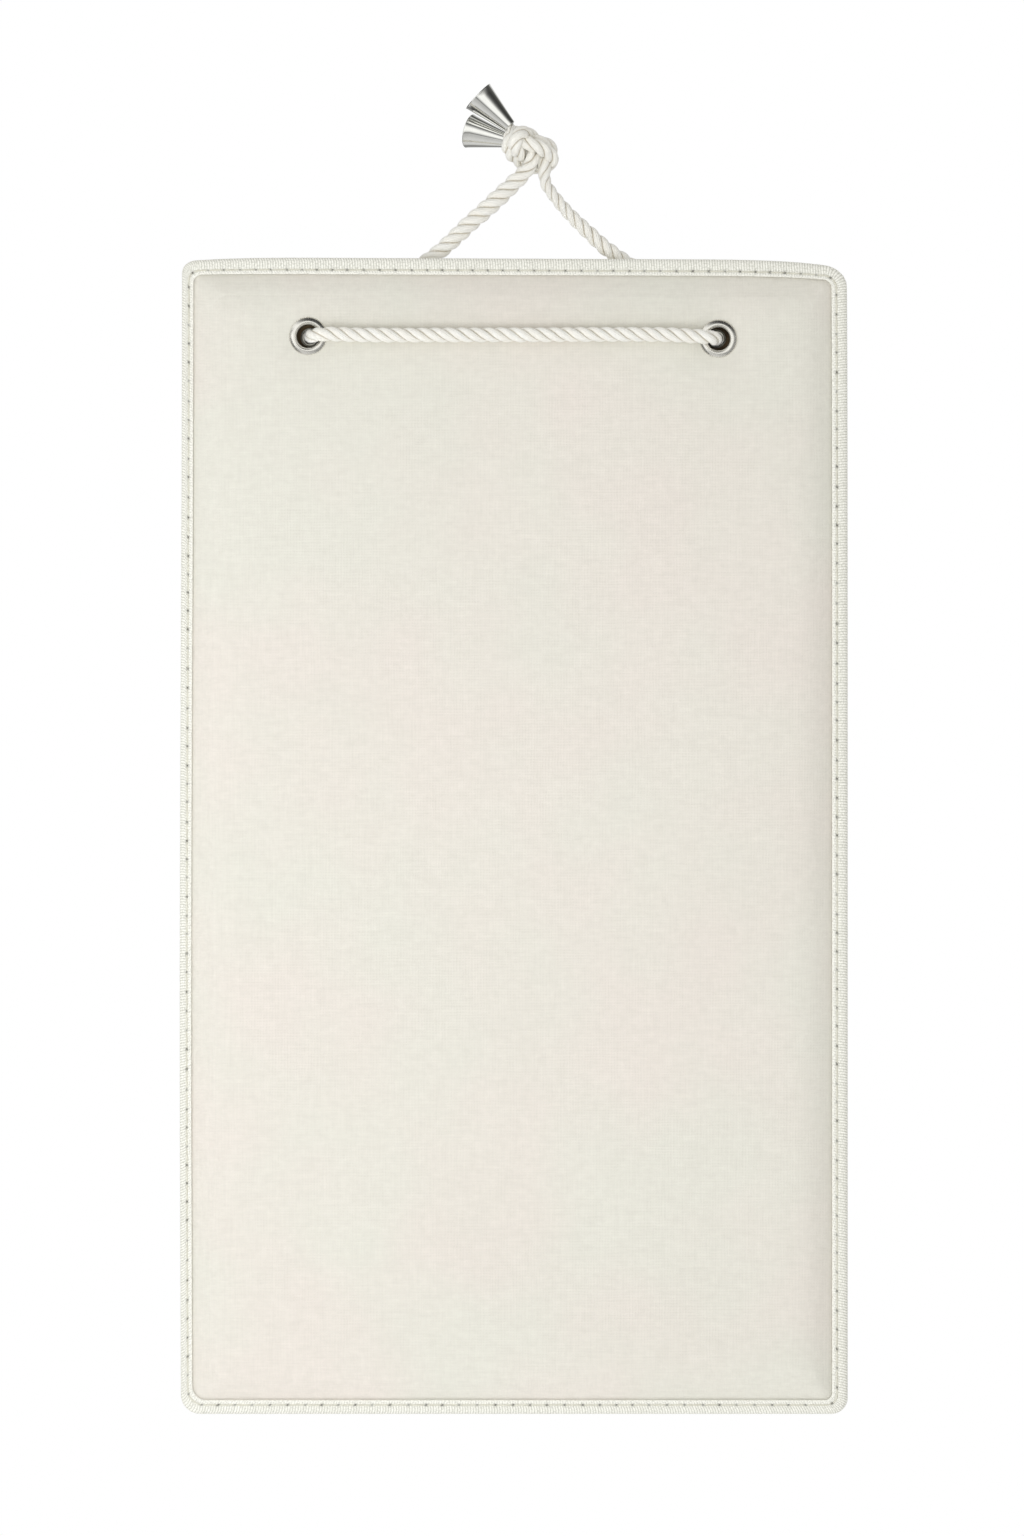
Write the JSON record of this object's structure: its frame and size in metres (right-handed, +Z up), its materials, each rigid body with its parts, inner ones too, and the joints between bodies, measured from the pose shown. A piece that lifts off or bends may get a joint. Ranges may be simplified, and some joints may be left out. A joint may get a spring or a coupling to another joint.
{
  "type": "hanging pin display board",
  "caption": "Padded cloth display board with stitched ribbed edge tape, metal eyelets and a knotted twisted cord loop to hang it by.",
  "frame": {"origin": "the crotch of the hanging loop just under its knot, at the middle of the cord's thickness, within 4 mm of where a nail or hook bears", "axes": "+Z up along the board's long side, +X to the right seen from the front, +Y towards the wall; the padded face looks along -Y"},
  "size_m": [0.2301, 0.033, 0.4599],
  "materials": {
    "canvas": "matte",
    "lining": "matte",
    "foam": "matte",
    "fibreboard": "matte",
    "tape": "matte",
    "thread": "satin",
    "cord": "satin",
    "nickel": "satin",
    "polished_metal": "polished"
  },
  "bodies": {
    "hanging_loop": {"left_upper_leg": "cord", "right_upper_leg": "cord", "hanger_knot": "cord", "upper_tail": "cord", "lower_tail": "cord"},
    "lower_legs": {"left_lower_leg": "cord", "right_lower_leg": "cord"},
    "board": {"front_cover": "canvas", "foam_pad": "foam", "stiffener_board": "fibreboard", "back_cover": "lining", "edge_binding": "tape", "needle_thread": "thread", "bobbin_thread": "thread", "left_eyelet": "nickel", "right_eyelet": "nickel", "left_washer": "nickel", "right_washer": "nickel", "front_cord_run": "cord"},
    "upper_tip": {"upper_tip": "polished_metal"},
    "lower_tip": {"lower_tip": "polished_metal"}
  },
  "joints": [
    {"name": "loop_over_top_edge", "type": "hinge", "parent": "hanging_loop", "child": "lower_legs", "pos_m": [-0.005, 0, -0.026], "axis": [1, 0, 0], "range_deg": [-90, 0]},
    {"name": "board_swing", "type": "hinge", "parent": "lower_legs", "child": "board", "pos_m": [-0.0096, 0, -0.05735], "axis": [1, 0, 0], "range_deg": [0, 165]},
    {"name": "upper_tip_spin", "type": "hinge", "parent": "hanging_loop", "child": "upper_tip", "pos_m": [-0.01657, 0.00094, 0.02164], "axis": [-0.7208, 0.0523, 0.6912], "continuous": true},
    {"name": "lower_tip_spin", "type": "hinge", "parent": "hanging_loop", "child": "lower_tip", "pos_m": [-0.01812, 0.00547, 0.01309], "axis": [-0.9077, 0.342, 0.2432], "continuous": true}
  ]
}
